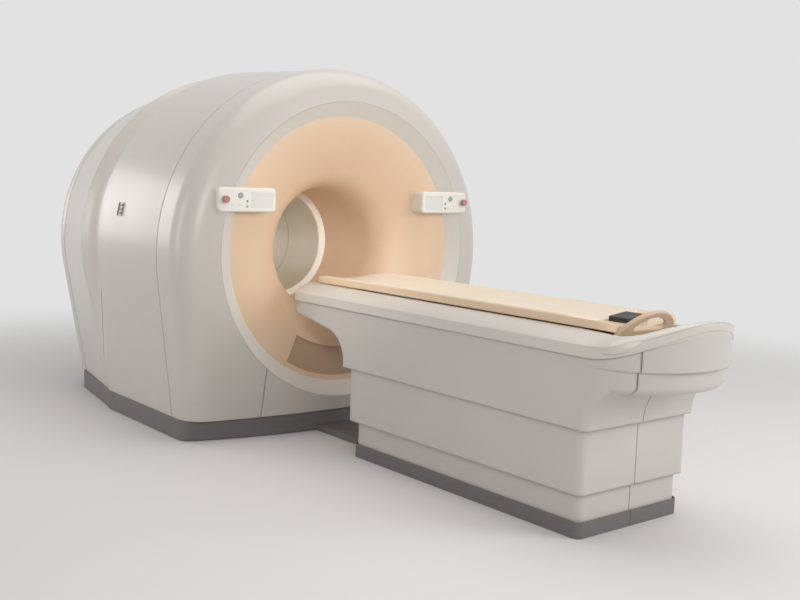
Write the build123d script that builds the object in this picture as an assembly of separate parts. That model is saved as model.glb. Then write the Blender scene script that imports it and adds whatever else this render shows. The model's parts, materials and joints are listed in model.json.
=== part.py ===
from build123d import *
import math
import os

# A PET-CT scanner, in millimetres. X runs across, Y runs from the patient table into
# the gantry, Z is up. The origin is on the floor under the CT scan plane.

# fits shared by many pieces
SEAM = 3.0
FIT = 0.5
SLIDE = 0.08
WALL = 8.0
FAR = 3000.0

# bore and funnel
SKIRT_TOP = 115.0
RING_R = 833.0
RING_LIFT = 82.0
AXIS_Z = SKIRT_TOP + RING_LIFT + RING_R
BORE_R = 350.0
BORE_STEP = 35.0
TUNNEL_R = BORE_R - BORE_STEP
LINER_T = 6.0
RING_Y = -550.0
RING_T = 9.0
RING_W = 79.0
BELL_R = RING_R - RING_W
BELL_Y = -496.0
BELL_DEPTH_SHARE = 0.68317
BELL_END_Y = BELL_Y + BELL_DEPTH_SHARE * (BELL_R - BORE_R)
BELL_WALL = 7.0
BELL_THROAT_SHARE = 0.53218
BELL_THROAT_R = BELL_THROAT_SHARE * (BELL_R - BORE_R)
BELL_PANEL_W = 194.0
BELL_PANEL_R = BELL_R - BELL_PANEL_W
BELL_PANEL_LAP = 16.0
BELL_PANEL_SPAN = 64.0
STEP_Y = 214.0
STEP_DEPTH = 26.0
STEP_CHAMFER = 14.0

# gantry hull: an arc over straight flanks, seen from the front
HULL_DROP = 30.0
HULL_Z = AXIS_Z - HULL_DROP
FRONT_RIM = 217.0
SEAM_R = RING_R + FRONT_RIM
WAIST_SWELL = 35.0
WAIST_R = SEAM_R + WAIST_SWELL
TAIL_TAPER = 84.0
TAIL_R = SEAM_R - TAIL_TAPER
FOOT_IN = 100.0
FOOT_X = SEAM_R - FOOT_IN
WAIST_FOOT_IN = 10.0
WAIST_FOOT_X = FOOT_X - WAIST_FOOT_IN
TAIL_FOOT_IN = 146.0
TAIL_FOOT_X = TAIL_R - TAIL_FOOT_IN
SEAM_Y = -238.0
SPLIT_Y = 600.0
TAIL_Y = 1250.0
REAR_Y = 1450.0
FRONT_SLOPE_SHARE = 0.256
FRONT_ROUND_SHARE = 0.69124
FRONT_ROUND = FRONT_ROUND_SHARE * FRONT_RIM
FRONT_HOLLOW = 40.0
REAR_ROUND = 165.0
ACCESS_X = 540.0
ACCESS_TOP = 520.0
PANEL_IN = 65.0
PANEL_R = SEAM_R - PANEL_IN
PANEL_FOOT_IN = 35.0
PANEL_FOOT_X = FOOT_X - PANEL_FOOT_IN
PANEL_T = 8.0

# waist groove between the two gantries
GROOVE_Y = 612.0
GROOVE_R = 210.0
GROOVE_OUT = 131.0
GROOVE_PATH_R = WAIST_R + GROOVE_OUT
GROOVE_FOOT_OUT = 91.0
GROOVE_FOOT_X = WAIST_R + GROOVE_FOOT_OUT

# floor trays and kick skirts
SKIRT_T = 12.0
SKIRT_LIFT = 5.0
SKIRT_NOSE_Y = -512.0
SKIRT_CORNER_Y = -356.0
SKIRT_CORNER_R = 60.0
TRAY_FLOOR = 20.0
TRAY_RIM = 60.0
PET_SKIRT_REAR_Y = 1400.0
PET_SKIRT_IN = 14.0
PET_SKIRT_FOOT_X = TAIL_FOOT_X - PET_SKIRT_IN
PET_SKIRT_R = 160.0
PET_TRAY_Z = 45.0

# rails that carry the PET gantry
RAIL_X = 560.0
RAIL_W = 40.0
RAIL_H = 28.0
RAIL_Y1 = 1660.0
BLOCK_W = 96.0
BLOCK_L = 130.0
BLOCK_Z = 8.0
BLOCK_ROWS_Y = (760.0, 1270.0)
NOTCH_W = 70.0

# CT stator, bearing and drive
STATOR_Y = 225.0
STATOR_T = 60.0
STATOR_IN = 180.0
STATOR_R = SEAM_R - STATOR_IN
ROTOR_GAP = 39.0
DISC_IN_R = BORE_R + LINER_T + ROTOR_GAP
SLIP_SEAT = 3.0
SLIP_W = 72.0
SLIP_IN_R = DISC_IN_R + SLIP_SEAT
SLIP_OUT_R = SLIP_IN_R + SLIP_W
RACE_GAP = 12.0
INNER_RACE_W = 69.0
OUTER_RACE_W = 71.0
INNER_RACE_R = SLIP_OUT_R + RACE_GAP
RACE_R = INNER_RACE_R + INNER_RACE_W
OUTER_RACE_R = RACE_R + OUTER_RACE_W
STATOR_CLEAR = 11.0
STATOR_HOLE_R = RACE_R + STATOR_CLEAR
STATOR_FOOT_IN = 170.0
STATOR_FOOT_X = FOOT_X - STATOR_FOOT_IN
RACE_Y = 150.0
DISC_Y = 90.0
DISC_T = 50.0
RIM_T = 20.0
RIM_Y = -160.0
SLIP_T = 58.0
SLIP_GROOVE = 4.0
SLIP_GROOVE_W = 6.0
SLIP_GROOVES = 2
BRUSH_X = 60.0
BRUSH_IN = 22.0
BRUSH_LOW = SLIP_IN_R + BRUSH_IN
BRUSH_UP = 58.0
BRUSH_HIGH = OUTER_RACE_R + BRUSH_UP
BRUSH_SHORT = 5.0
BRUSH_ARM = SLIP_OUT_R - BRUSH_SHORT
BRUSH_Y = 205.0
BRUSH_T = 16.0
DRIVE_GAP = 4.0
DRIVE_T = 50.0
DRIVE_SPAN = 50.0

# what the rotor carries
TUBE_R = 120.0
TUBE_NECK_R = 70.0
TUBE_FRONT_Y = -150.0
TUBE_CAP = 40.0
COLLIMATOR_X = 120.0
COLLIMATOR_GAP = 10.0
COLLIMATOR_H = 73.0
COLLIMATOR_LOW = DISC_IN_R + COLLIMATOR_GAP
COLLIMATOR_HIGH = COLLIMATOR_LOW + COLLIMATOR_H
COLLIMATOR_Y = -70.0
COLLIMATOR_SLOT = 30.0
TUBE_GAP = 2.0
TUBE_OUT = COLLIMATOR_HIGH + TUBE_R + TUBE_GAP
DETECTOR_GAP = 49.0
DETECTOR_R = TUBE_OUT + BORE_R + LINER_T + DETECTOR_GAP
DETECTOR_T = 80.0
DETECTOR_HALF = 27.0
DETECTOR_Y = -60.0
TANK_GAP = 75.0
TANK_W = 230.0
TANK_IN = DISC_IN_R + TANK_GAP
TANK_OUT = TANK_IN + TANK_W
TANK_HALF = 180.0
TANK_Y = -150.0
TANK_ROUND = 30.0
RIM_GAP = 50.0
RIM_R = TUBE_OUT + TUBE_R + RIM_GAP + RIM_T

# PET ring
MODULES = 28
MODULE_GAP = 117.0
MODULE_H = 138.0
MODULE_IN_R = TUNNEL_R + MODULE_GAP
MODULE_OUT_R = MODULE_IN_R + MODULE_H
MODULE_FILL_SHARE = 0.904
MODULE_W = MODULE_FILL_SHARE * 2 * MODULE_IN_R * math.tan(math.pi / MODULES)
MODULE_Y = 905.0
PET_FRAME_Y = 1150.0
PET_FRAME_T = 50.0
PET_FRAME_IN = 166.0
PET_FRAME_R = TAIL_R - PET_FRAME_IN
PET_FRAME_FOOT_IN = 200.0
PET_FRAME_FOOT_X = TAIL_FOOT_X - PET_FRAME_FOOT_IN
SHIELD_LAP = 70.0
SHIELD_R = MODULE_OUT_R + SHIELD_LAP
SHIELD_T = 25.0
FLARE_W = 145.0
FLARE_R = TUNNEL_R + FLARE_W
FLARE_Y = 1290.0

# control panels on the gantry front
POD_W = 348.0
POD_OVER_RING = 26.0
POD_OUT_X = RING_R + POD_OVER_RING
POD_IN_X = POD_OUT_X - POD_W
POD_UP = 215.0
POD_H = 128.0
POD_LOW = AXIS_Z + POD_UP
POD_HIGH = POD_LOW + POD_H
POD_FRONT_Y = -561.0
POD_BACK_Y = -430.0
POD_CORNER = 22.0
POD_EDGE = 7.0
SCREEN_IN = 20.0
SCREEN_W = 137.0
SCREEN_IN_X = POD_IN_X + SCREEN_IN
SCREEN_OUT_X = SCREEN_IN_X + SCREEN_W
SCREEN_UP = 21.0
SCREEN_H = 84.0
SCREEN_LOW = POD_LOW + SCREEN_UP
SCREEN_HIGH = SCREEN_LOW + SCREEN_H
SCREEN_SINK = 5.0
SCREEN_T = 3.0
STOP_IN = 33.0
STOP_X = POD_OUT_X - STOP_IN
STOP_UP = 67.0
STOP_Z = POD_LOW + STOP_UP
STOP_R = 19.0
STOP_COLLAR_R = 26.0
STOP_COLLAR_H = 5.0
STOP_H = 17.0
STOP_STEM_R = 9.0
STOP_TRAVEL = 6.0
DIAL_IN = 129.0
DIAL_X = POD_OUT_X - DIAL_IN
DIAL_UP = 87.0
DIAL_Z = POD_LOW + DIAL_UP
DIAL_R = 15.0
DIAL_H = 4.0
KEY_INS = (89.0, 134.0)
KEY_XS = [POD_OUT_X - inset for inset in KEY_INS]
KEY_UP = 38.0
KEY_Z = POD_LOW + KEY_UP
KEY_W = 26.0
KEY_TALL = 17.0
KEY_H = 3.0
KEY_TRAVEL = 2.0
KEY_WELL = 12.0
KEY_CORNER = 3.0
LAMP_IN = 169.0
LAMP_X = POD_OUT_X - LAMP_IN
LAMP_UPS = (57.0, 30.0)
LAMP_ZS = [POD_LOW + up for up in LAMP_UPS]
LAMP_R = 6.0
LAMP_H = 2.5
LAMP_WELL = 6.0

# small keypad on the left flank
SIDE_PAD_Y = 190.0
SIDE_PAD_UP = 225.0
SIDE_PAD_Z = HULL_Z + SIDE_PAD_UP
SIDE_PAD_L = 48.0
SIDE_PAD_H = 76.0
SIDE_PAD_T = 10.0
SIDE_BAR_W = 13.0
SIDE_KEY_L = 20.0
SIDE_KEY_H = 12.0
SIDE_KEY_PITCH = 22.0
SIDE_RAISE = 3.0

# table base and its telescoping covers
DUCT_X = 180.0
DUCT_H = 34.0
TABLE_WALL = 5.0
LOWER_X = 322.0
LOWER_Y0 = -2612.0
LOWER_Y1 = -1077.0
BASE_OUT = 10.0
BASE_X = LOWER_X + BASE_OUT
BASE_Y0 = LOWER_Y0 - BASE_OUT
BASE_Y1 = LOWER_Y1 + BASE_OUT
BASE_SKIRT_H = 70.0
BASE_PLATE_H = 20.0
LOWER_TOP = 345.0
MID_OUT = 23.0
MID_X = LOWER_X + MID_OUT
MID_FOOT_OUT = 22.0
MID_Y0 = LOWER_Y0 - MID_FOOT_OUT
MID_HEAD_OUT = 49.0
MID_Y1 = LOWER_Y1 + MID_HEAD_OUT
MID_LOW = 187.0
RIM_UP = 266.0
RIM_Z = AXIS_Z - RIM_UP
UPPER_H = 302.0
UPPER_LOW = RIM_Z - UPPER_H
MID_LAP = 76.0
MID_TOP = UPPER_LOW + MID_LAP
UPPER_OUT = 17.0
UPPER_X = MID_X + UPPER_OUT
UPPER_FOOT_OUT = 26.0
UPPER_Y0 = MID_Y0 - UPPER_FOOT_OUT
UPPER_HEAD_OUT = 28.0
UPPER_Y1 = MID_Y1 + UPPER_HEAD_OUT
COVER_CORNER = 34.0

# nose over the gantry mouth and prow at the foot
NOSE_GAP = 2.0
NOSE_Y = RING_Y - NOSE_GAP
NOSE_TIP_H = 64.0
NOSE_TIP_Z = RIM_Z - NOSE_TIP_H
NOSE_LOW_OUT = 140.0
NOSE_LOW_Y = UPPER_Y1 + NOSE_LOW_OUT
NOSE_LOW_H = 119.0
NOSE_LOW_Z = RIM_Z - NOSE_LOW_H
NOSE_ARC_OUT = 40.0
NOSE_ARC_Y = UPPER_Y1 + NOSE_ARC_OUT
NOSE_ARC_H = 174.0
NOSE_ARC_Z = RIM_Z - NOSE_ARC_H
PROW_OUT = 321.0
PROW_Y = UPPER_Y0 - PROW_OUT
PROW_ROUND = 210.0
PROW_SHOULDER_R = 260.0
PROW_INSET = 3.0
PROW_TIER = 20.0
PROW_TIER_H = 34.0
PROW_TIER_Z = RIM_Z - PROW_TIER_H
PROW_SEAM_IN = 74.0
PROW_SEAM_X = UPPER_X - PROW_SEAM_IN
PROW_H = 128.0
PROW_LOW_Z = RIM_Z - PROW_H
PROW_EDGE_R = 38.0
COVE_OUT = 92.0
COVE_Y = UPPER_Y0 - COVE_OUT
COVE_MID_OUT = 24.0
COVE_MID_Y = UPPER_Y0 - COVE_MID_OUT
COVE_MID_H = 202.0
COVE_MID_Z = RIM_Z - COVE_MID_H
RISE_IN = 20.0
RISE_Y = UPPER_Y0 + RISE_IN
RISE = 130.0

# deck, chassis and lift columns
DECK_OUT = 12.0
DECK_X = UPPER_X + DECK_OUT
DECK_H = 48.0
DECK_TIP_H = 32.0
SHOULDER_H = 94.0
SHOULDER_MID_H = 77.0
SHOULDER_MID_IN = 40.0
SHOULDER_GAP = 6.0
SHOULDER_FADE_IN = 260.0
SHOULDER_FOOT_OUT = 80.0
DISH_EDGE = 28.0
DISH_DEPTH = 26.0
DISH_LIP = 48.0
DISH_NOSE_Y = NOSE_Y - DISH_LIP
CHASSIS_IN = 62.0
CHASSIS_X = UPPER_X - CHASSIS_IN
CHASSIS_H = 60.0
CHASSIS_Z = RIM_Z - CHASSIS_H
CHASSIS_FOOT_IN = 100.0
CHASSIS_Y0 = UPPER_Y0 + CHASSIS_FOOT_IN
CHASSIS_NOSE_IN = 88.0
CHASSIS_Y1 = NOSE_Y - CHASSIS_NOSE_IN
COLUMN_HEAD_IN = 323.0
COLUMN_FOOT_IN = 362.0
COLUMN_YS = (LOWER_Y1 - COLUMN_HEAD_IN, LOWER_Y0 + COLUMN_FOOT_IN)
COLUMN_OUT = 190.0
COLUMN_WALL = 10.0
COLUMN_TOP_IN = 15.0
COLUMN_OUT_TOP = LOWER_TOP - COLUMN_TOP_IN
COLUMN_MID_UP = 3.0
COLUMN_MID_LOW = MID_LOW + COLUMN_MID_UP
COLUMN_MID_IN = 8.0
COLUMN_MID_TOP = MID_TOP - COLUMN_MID_IN
COLUMN_IN_LOW = 330.0
BRACKET_H = 16.0
BRACKET_IN = 26.0
BRACKET_Z = MID_TOP - BRACKET_IN
BRACKET_Y = 120.0

# pallet and what it carries
TRACK_X = 130.0
TRACK_W = 34.0
TRACK_H = 22.0
TRACK_FOOT_IN = 130.0
TRACK_Y0 = CHASSIS_Y0 + TRACK_FOOT_IN
TRACK_NOSE_IN = 8.0
TRACK_Y1 = NOSE_Y - TRACK_NOSE_IN
RUNNER_W = 60.0
RUNNER_L = 700.0
RUNNER_IN = 30.0
RUNNER_GAP = 4.0
RUNNER_Y0 = TRACK_Y0 + RUNNER_IN
PALLET_X = 250.0
PALLET_Y0 = RISE_Y
PALLET_REACH = 47.0
PALLET_Y1 = NOSE_Y + PALLET_REACH
PALLET_UP = 72.0
PALLET_LOW = RIM_Z + PALLET_UP
PALLET_SWEEP = 28.0
PALLET_EDGE_LOW = PALLET_LOW + PALLET_SWEEP
PALLET_T = 30.0
PALLET_TOP = PALLET_LOW + PALLET_T
PALLET_DISH = 34.0
PALLET_EDGE_TOP = PALLET_TOP + PALLET_DISH
PALLET_CORNER = 60.0
PALLET_HEAD_R = 140.0
PAD_IN = 14.0
PAD_FOOT_IN = 204.0
PAD_Y0 = PALLET_Y0 + PAD_FOOT_IN
PAD_HEAD_IN = 26.0
PAD_Y1 = PALLET_Y1 - PAD_HEAD_IN
PAD_T = 9.0
CLAMP_X = 62.0
CLAMP_IN = 140.0
CLAMP_Y = PALLET_Y0 + CLAMP_IN
CLAMP_UP = 14.0
CLAMP_Z = PALLET_TOP + CLAMP_UP
CLAMP_W = 118.0
CLAMP_L = 120.0
CLAMP_T = 30.0
CLAMP_LEAN = 7.0
CLAMP_BEVEL = 4.0
LOOP_W = 392.0
LOOP_TALL = 134.0
LOOP_R = 12.0
LOOP_T = 20.0
LOOP_EDGE = 5.0
LOOP_SLOT_W = 230.0
LOOP_SLOT_H = 62.0
LOOP_SLOT_UP = 40.0
LOOP_SLOT_R = 14.0
LOOP_UP = 10.0
LOOP_Z = PALLET_LOW + LOOP_UP
LOOP_LEAN = 35.0

os.makedirs("parts", exist_ok=True)
BORE_AXIS = Axis((0, 0, AXIS_Z), (0, 1, 0))


def save(name, *solids):
    shape = Compound(children=list(solids)) if len(solids) > 1 else solids[0]
    export_step(shape, f"parts/{name}.step")


def box(x0, x1, y0, y1, z0, z1):
    return Pos((x0 + x1) / 2, (y0 + y1) / 2, (z0 + z1) / 2) * Box(x1 - x0, y1 - y0, z1 - z0)


def rod(radius, x, z, y0, y1):
    return Pos(x, (y0 + y1) / 2, z) * Rot(90, 0, 0) * Cylinder(radius, y1 - y0)


def ring(r_in, r_out, y0, y1):
    return rod(r_out, 0, AXIS_Z, y0, y1) - rod(r_in, 0, AXIS_Z, y0, y1)


def turned(*lines, arc=360.0):
    return revolve(Pos(0, 0, AXIS_Z) * make_face(lines), BORE_AXIS, arc)


def both(shape):
    return shape + mirror(shape, Plane.YZ)


def flank(radius, foot, base):
    """Where the straight flank from a foot point touches the hull arc."""
    drop = HULL_Z - base
    turn = math.acos(radius / math.hypot(foot, drop)) - math.atan2(drop, foot)
    return radius * math.cos(turn), HULL_Z + radius * math.sin(turn)


def outline(radius, foot, base, y):
    tx, tz = flank(radius, foot, base)
    right = Line((foot, base), (tx, tz))
    crown = ThreePointArc((tx, tz), (0, HULL_Z + radius), (-tx, tz))
    left = Line((-tx, tz), (-foot, base))
    return Plane.XZ.offset(-y) * make_face([right, crown, left, Line((-foot, base), (foot, base))])


def hull(front, back, trim, base):
    """A solid hull between two outlines, each a radius, a foot and a place along Y."""
    faces = [outline(r - trim, x - trim, base, y) for r, x, y in (front, back)]
    return loft(faces, ruled=True)


def groove(radius):
    tx, tz = flank(GROOVE_PATH_R, GROOVE_FOOT_X, 0)
    right = Line((GROOVE_FOOT_X, 0), (tx, tz))
    crown = ThreePointArc((tx, tz), (0, HULL_Z + GROOVE_PATH_R), (-tx, tz))
    left = Line((-tx, tz), (-GROOVE_FOOT_X, 0))
    path = Plane.XZ.offset(-GROOVE_Y) * Wire([right, crown, left])
    return sweep(Plane(path @ 0, z_dir=path % 0) * Circle(radius), path)


def half(shape, side):
    x0, x1 = sorted((side * SEAM / 2, side * FAR))
    return shape & box(x0, x1, -FAR, FAR, 0, FAR)


def slab(points, y, depth):
    """A front-view polygon carried along +Y."""
    return extrude(Plane.XZ.offset(-y) * make_face(Polyline(*points, close=True)), -depth)


def plan(width, y0, y1, z0, z1, corner):
    """A box with upright edges rounded."""
    face = Pos(0, (y0 + y1) / 2, z0) * RectangleRounded(2 * width, y1 - y0, corner)
    return extrude(face, z1 - z0)


# front cover with its access panel below the ring
def front_form(trim, base, rounded=True):
    solid = extrude(outline(SEAM_R - trim, FOOT_X - trim, base, RING_Y), RING_Y - SEAM_Y + SEAM)
    face_y = RING_Y + trim
    edge_y = face_y + FRONT_SLOPE_SHARE * (FAR - RING_R)
    nose = turned(
        Polyline((0, face_y), (RING_R, face_y), (FAR, edge_y), (FAR, FAR), (0, FAR), close=True)
    )
    solid = solid & nose
    if not rounded:
        return solid
    rim = []
    for edge in solid.edges():
        reach = edge.bounding_box()
        on_front = reach.max.Y < SEAM_Y - 2 * SEAM and reach.size.Y > FIT and reach.max.Z > base + SEAM
        if on_front and edge.geom_type != GeomType.LINE:
            rim.append(edge)
    return fillet(rim, FRONT_ROUND)


front_outer = front_form(0, SKIRT_TOP)
mouth = rod(RING_R, 0, AXIS_Z, RING_Y - FAR, SEAM_Y)
front_shell = front_outer - front_form(FRONT_HOLLOW, SKIRT_TOP - WALL, rounded=False) - mouth
access_zone = box(-ACCESS_X, ACCESS_X, RING_Y - WALL, SEAM_Y, 0, ACCESS_TOP)
access_gap = box(-ACCESS_X - SEAM, ACCESS_X + SEAM, RING_Y - WALL, SEAM_Y, 0, ACCESS_TOP)
save("front_cover", front_shell - access_gap)
save("front_access_panel", front_shell & access_zone)

# small keypad let into the left flank, its face along the flank
along = (SIDE_PAD_Y + SIDE_PAD_L / 2 - SEAM_Y) / (SPLIT_Y - SEAM_Y)
flank_r = SEAM_R + (WAIST_R - SEAM_R) * along
lean = math.degrees(math.asin((SIDE_PAD_Z - HULL_Z) / flank_r))
yaw = math.degrees(math.atan((WAIST_R - SEAM_R) / (SPLIT_Y - SEAM_Y)))
key_top = SIDE_PAD_T + SIDE_RAISE
pad_half = SIDE_PAD_H / 2
bar_y = SIDE_PAD_L - SIDE_RAISE
keypad = box(0, SIDE_PAD_T, 0, SIDE_PAD_L, -pad_half, pad_half)
keypad += box(SIDE_PAD_T, key_top, bar_y - SIDE_BAR_W, bar_y, SIDE_RAISE - pad_half, pad_half - SIDE_RAISE)
for n in (-1, 0, 1):
    low = n * SIDE_KEY_PITCH - SIDE_KEY_H / 2
    keypad += box(SIDE_PAD_T, key_top, SIDE_RAISE, SIDE_RAISE + SIDE_KEY_L, low, low + SIDE_KEY_H)
keypad = Rot(0, -lean, 0) * Pos(flank_r - SIDE_RAISE, 0, 0) * Rot(0, 0, -yaw) * keypad
keypad = mirror(Pos(0, SIDE_PAD_Y, HULL_Z) * keypad, Plane.YZ)
save("side_keypad", keypad)

# side covers of both gantries with the groove worked in
seam_ring = (SEAM_R, FOOT_X, SEAM_Y)
waist_ct = (WAIST_R, FOOT_X, SPLIT_Y - SEAM)
waist_pet = (WAIST_R, WAIST_FOOT_X, SPLIT_Y + SEAM)
tail_ring = (TAIL_R, TAIL_FOOT_X, TAIL_Y)
groove_cut, groove_core = groove(GROOVE_R), groove(GROOVE_R + WALL)
for name, front, back in (("ct", seam_ring, waist_ct), ("pet", waist_pet, tail_ring)):
    outer = hull(front, back, 0, SKIRT_TOP) - groove_cut
    inner = hull(front, back, WALL, SKIRT_TOP - WALL) - groove_core
    shell = outer - inner
    save(f"{name}_side_cover_left", half(shell, -1) - keypad)
    save(f"{name}_side_cover_right", half(shell, 1))

# closing panels that face each other when the gantries part
ct_back = extrude(outline(PANEL_R, PANEL_FOOT_X, SKIRT_TOP, SPLIT_Y - SEAM), PANEL_T)
save("ct_rear_panel", ct_back - rod(TUNNEL_R, 0, AXIS_Z, 0, FAR))
pet_face = extrude(outline(PANEL_R, PANEL_FOOT_X, SKIRT_TOP, SPLIT_Y + SEAM), -PANEL_T)
save("pet_front_panel", pet_face - rod(TUNNEL_R + LINER_T, 0, AXIS_Z, 0, FAR))


# rear cover
def rear_form(trim, base):
    face = outline(TAIL_R - trim, TAIL_FOOT_X - trim, base, TAIL_Y + SEAM)
    solid = extrude(face, TAIL_Y + SEAM - REAR_Y + trim)
    back_face = solid.faces().sort_by(Axis.Y)[-1]
    return fillet([e for e in back_face.edges() if e.center().Z > base + SEAM], REAR_ROUND - trim)


rear_shell = rear_form(0, SKIRT_TOP) - rear_form(WALL, SKIRT_TOP - WALL)
save("pet_rear_cover", rear_shell - rod(FLARE_R, 0, AXIS_Z, TAIL_Y, FAR))
flare_lip = Polyline((FLARE_R, REAR_Y), (FLARE_R, REAR_Y - WALL), (TUNNEL_R + LINER_T, FLARE_Y - WALL),
                     (TUNNEL_R, FLARE_Y - WALL), (TUNNEL_R, FLARE_Y), close=True)
save("pet_rear_flare", turned(flare_lip))

# funnel, trim ring and bore liners
ring_inner_y = BELL_Y + RING_T
save("funnel_trim_ring", turned(Polyline(
    (RING_R, RING_Y), (RING_R, RING_Y + RING_T), (BELL_R, ring_inner_y), (BELL_R, BELL_Y), close=True)))


def bell(trim):
    """All that lies behind the funnel's curve: two arcs that meet smoothly, out to the trim ring."""
    across, deep = BELL_R - BORE_R, BELL_END_Y - BELL_Y
    tight, spare = BELL_THROAT_R, across - BELL_THROAT_R
    wide = (spare ** 2 + deep ** 2 - tight ** 2) / (2 * (deep - tight))
    turn = math.degrees(math.atan2(wide - deep, spare))
    throat = CenterArc((BORE_R + tight, BELL_END_Y), tight - trim, 180, turn)
    flare = CenterArc((BELL_R, BELL_Y + wide), wide - trim, 180 + turn, 90 - turn)
    corner = (BELL_R, BELL_END_Y)
    return turned(throat, flare, Line(flare @ 1, corner), Line(corner, throat @ 0))


wedge_reach = FAR * math.tan(math.radians(BELL_PANEL_SPAN / 2))
wedge_low = [(-wedge_reach, AXIS_Z - FAR), (wedge_reach, AXIS_Z - FAR)]
wedge = slab([(0, AXIS_Z), *wedge_low], BELL_Y - SEAM, FAR)
wedge_wide = slab([(0, AXIS_Z + 2 * BELL_PANEL_LAP), *wedge_low], BELL_Y - SEAM, FAR)
bell_solid, bell_back = bell(0), bell(BELL_WALL)
window = wedge - rod(BELL_PANEL_R, 0, AXIS_Z, BELL_Y - SEAM, FAR)
lap_zone = wedge_wide - rod(BELL_PANEL_R - BELL_PANEL_LAP, 0, AXIS_Z, BELL_Y - SEAM, FAR)
save("bore_funnel", bell_solid - bell_back - window)
save("funnel_lower_panel", (bell_back - bell(2 * BELL_WALL)) & lap_zone)
save("ct_bore_liner", ring(BORE_R, BORE_R + LINER_T, BELL_END_Y, STEP_Y))
save("bore_step_ring", turned(Polyline(
    (BORE_R + LINER_T, STEP_Y), (BORE_R, STEP_Y), (TUNNEL_R, STEP_Y + STEP_CHAMFER),
    (TUNNEL_R, STEP_Y + STEP_DEPTH), (BORE_R + LINER_T, STEP_Y + STEP_DEPTH), close=True)))
tunnel_out_r = TUNNEL_R + LINER_T
ct_tunnel_end = SPLIT_Y - SEAM - PANEL_T
save("ct_tunnel_liner", ring(TUNNEL_R, tunnel_out_r, STEP_Y + STEP_DEPTH, ct_tunnel_end))
save("pet_tunnel_liner", ring(TUNNEL_R, tunnel_out_r, SPLIT_Y + SEAM, FLARE_Y - WALL))


# floor trays and skirts
def ct_plan(trim):
    """The CT gantry's footprint, straight at the sides and bowed at the front."""
    x, y = FOOT_X - trim, SKIRT_CORNER_Y + trim
    bow = ThreePointArc((-x, y), (0, SKIRT_NOSE_Y + trim), (x, y))
    back_y = SPLIT_Y - SEAM
    face = make_face([bow, Line((x, y), (x, back_y)), Line((x, back_y), (-x, back_y)),
                      Line((-x, back_y), (-x, y))])
    return fillet(face.vertices().sort_by(Axis.Y)[:2], SKIRT_CORNER_R)


def pet_plan(trim):
    near, rear = WAIST_FOOT_X - trim, PET_SKIRT_FOOT_X - trim
    back_y = PET_SKIRT_REAR_Y - trim
    front_y = SPLIT_Y + SEAM
    corners = [(-near, front_y), (near, front_y), (rear, back_y), (-rear, back_y)]
    face = make_face(Polyline(*corners, close=True))
    return fillet(face.vertices().sort_by(Axis.Y)[2:], PET_SKIRT_R)


def tray(shape, low):
    body = extrude(Pos(0, 0, low) * shape(SKIRT_T), SKIRT_TOP - low)
    well = extrude(Pos(0, 0, low + TRAY_FLOOR) * shape(SKIRT_T + TRAY_RIM), SKIRT_TOP)
    return body - well


def skirt(shape, low):
    body = extrude(Pos(0, 0, low) * shape(0), SKIRT_TOP - low)
    return body - extrude(shape(SKIRT_T), SKIRT_TOP)


rail_notches = both(box(RAIL_X - NOTCH_W / 2, RAIL_X + NOTCH_W / 2, TAIL_Y, FAR, 0, PET_TRAY_Z))
save("ct_base_tray", tray(ct_plan, 0))
save("ct_kick_skirt", skirt(ct_plan, SKIRT_LIFT))
save("pet_kick_skirt", skirt(pet_plan, SKIRT_LIFT) - rail_notches)

rails, blocks = [], []
for x in (-RAIL_X, RAIL_X):
    rails.append(box(x - RAIL_W / 2, x + RAIL_W / 2, SPLIT_Y - SEAM, RAIL_Y1, 0, RAIL_H))
    slot = RAIL_W / 2 + SLIDE
    for y in BLOCK_ROWS_Y:
        y0, y1 = y - BLOCK_L / 2, y + BLOCK_L / 2
        block = box(x - BLOCK_W / 2, x + BLOCK_W / 2, y0, y1, BLOCK_Z, PET_TRAY_Z)
        blocks.append(block - box(x - slot, x + slot, 0, FAR, 0, RAIL_H + SLIDE))
save("pet_rails", *rails)
save("pet_carriage", tray(pet_plan, PET_TRAY_Z), *blocks)

# CT stator, bearing, drive and slip ring
stator = rod(STATOR_R, 0, AXIS_Z, STATOR_Y, STATOR_Y + STATOR_T)
stator += box(-STATOR_FOOT_X, STATOR_FOOT_X, STATOR_Y, STATOR_Y + STATOR_T, TRAY_FLOOR, AXIS_Z)
stator -= rod(STATOR_HOLE_R, 0, AXIS_Z, 0, FAR)
outer_race = ring(RACE_R, OUTER_RACE_R, RACE_Y, STATOR_Y)
inner_race = ring(INNER_RACE_R, RACE_R - SLIDE, DISC_Y + DISC_T, STATOR_Y - DRIVE_GAP)
rotor = ring(DISC_IN_R, RIM_R, DISC_Y, DISC_Y + DISC_T) + ring(RIM_R - RIM_T, RIM_R, RIM_Y, DISC_Y)
save("rotor_drum", rotor, inner_race)
slip = ring(SLIP_IN_R, SLIP_OUT_R, DISC_Y + DISC_T, DISC_Y + DISC_T + SLIP_T)
pitch = (SLIP_OUT_R - SLIP_IN_R) / (SLIP_GROOVES + 1)
for n in range(SLIP_GROOVES):
    r = SLIP_IN_R + pitch * (n + 1)
    cut_y = DISC_Y + DISC_T + SLIP_T - SLIP_GROOVE
    slip -= ring(r - SLIP_GROOVE_W / 2, r + SLIP_GROOVE_W / 2, cut_y, FAR)
save("slip_ring", slip)
stator_back = STATOR_Y + STATOR_T
brush_low, brush_end = AXIS_Z + BRUSH_LOW, stator_back + BRUSH_T
brush = box(-BRUSH_X, BRUSH_X, stator_back, brush_end, brush_low, AXIS_Z + BRUSH_HIGH)
brush += box(-BRUSH_X, BRUSH_X, BRUSH_Y, stator_back, brush_low, AXIS_Z + BRUSH_ARM)
save("ct_stator_frame", stator, outer_race, brush)

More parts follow.
